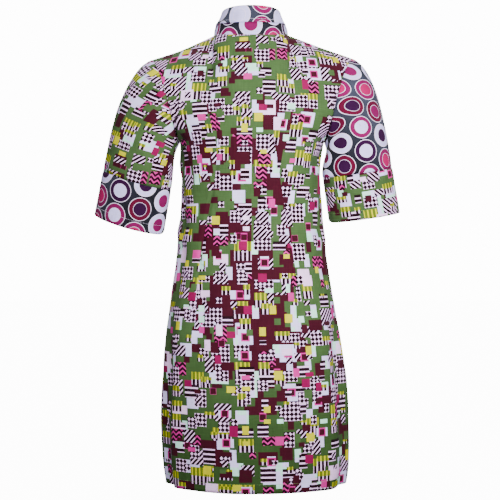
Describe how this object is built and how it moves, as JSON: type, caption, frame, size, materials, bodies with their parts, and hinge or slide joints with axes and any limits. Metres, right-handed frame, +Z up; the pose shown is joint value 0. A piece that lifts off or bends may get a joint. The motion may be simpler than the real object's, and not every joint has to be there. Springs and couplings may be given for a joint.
{
  "type": "ankara shirt dress",
  "caption": "Hollow knee-length shirt dress with elbow sleeves, banded cuffs, a stand collar with a turned-down leaf, long back darts and a buttoned front.",
  "frame": {"origin": "middle of the neck opening, level with the inner ends of the shoulder seams", "axes": "+Z up towards the collar, the front faces -Y, the wearer's left is +X"},
  "size_m": [0.6, 0.2671, 0.9117],
  "materials": {
    "block_cloth": "printed plain-weave cotton",
    "disc_cloth": "printed plain-weave cotton",
    "button_shell": "polished"
  },
  "bodies": {
    "root": {"back": "block_cloth", "front_left": "block_cloth", "front_right": "block_cloth", "front_band": "block_cloth", "sleeve_left": "block_cloth", "cuff_left": "disc_cloth", "sleeve_right": "disc_cloth", "cuff_right": "block_cloth", "collar_stand": "disc_cloth", "collar_leaf": "disc_cloth", "button_stand": "button_shell", "button_1": "button_shell", "button_2": "button_shell", "button_3": "button_shell", "button_4": "button_shell", "button_5": "button_shell", "button_6": "button_shell", "button_7": "button_shell", "button_8": "button_shell"}
  },
  "joints": []
}
